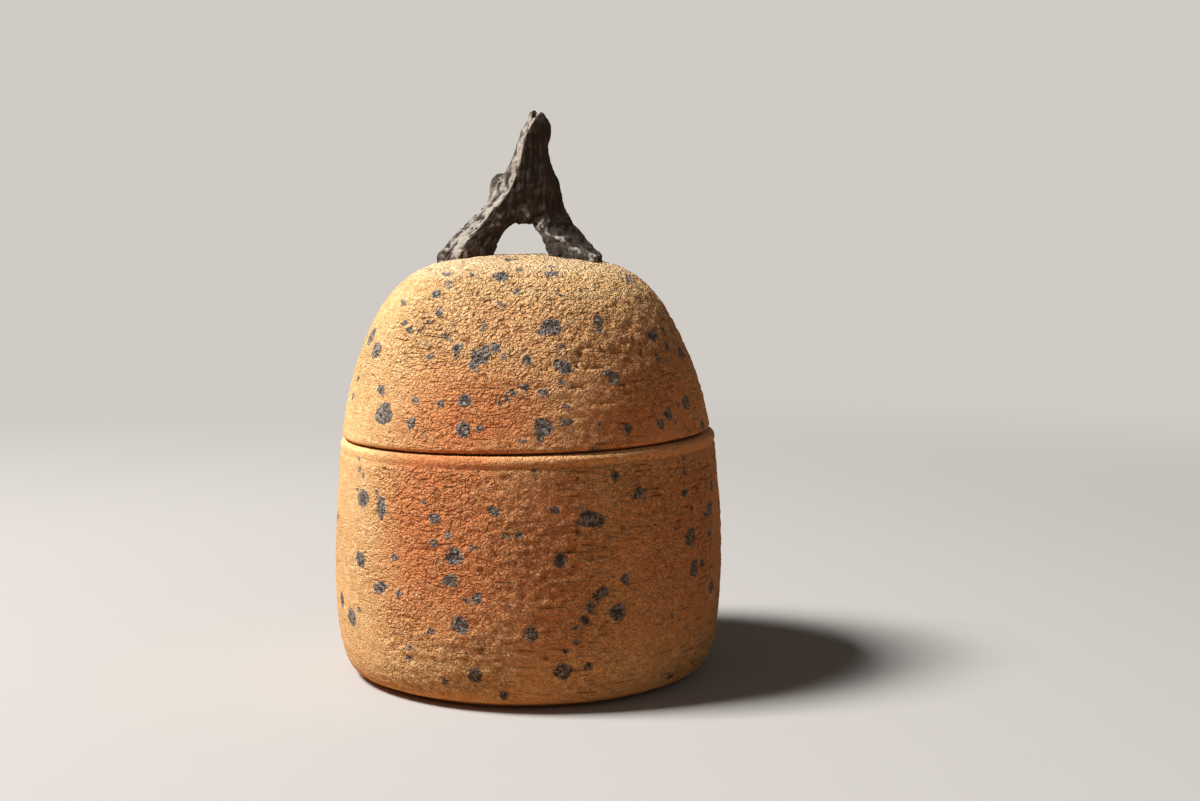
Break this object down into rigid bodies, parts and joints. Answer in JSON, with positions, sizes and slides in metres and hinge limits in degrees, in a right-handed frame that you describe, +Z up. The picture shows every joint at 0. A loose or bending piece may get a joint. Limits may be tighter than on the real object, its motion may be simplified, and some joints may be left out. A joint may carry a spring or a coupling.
{
  "type": "lidded jar",
  "caption": "Stout round stoneware jar on a flat bevelled foot, with a domed lid that lifts off by a forked twig-shaped handle on its crown.",
  "frame": {"origin": "centre of the flat foot, on the surface that the jar stands on", "axes": "+Z up along the jar's turning axis, -Y to the front, the side that the picture shows, +X to the viewer's right"},
  "size_m": [0.16, 0.16, 0.2295],
  "materials": {
    "jar_clay": "matte, coarse grogged ochre stoneware with orange flashing and dark iron flecks",
    "lid_clay": "matte, coarse grogged ochre stoneware with dark iron flecks",
    "twig_clay": "matte charcoal-grey clay, torn and pitted like bark"
  },
  "bodies": {
    "jar": {"jar_body": "jar_clay"},
    "lid": {"lid_dome": "lid_clay", "lid_flange": "lid_clay", "twig_handle": "twig_clay"}
  },
  "joints": [
    {"name": "lid_lift", "type": "slide", "parent": "jar", "child": "lid", "axis": [0, 0, 1], "range_m": [0, 0.15]}
  ]
}
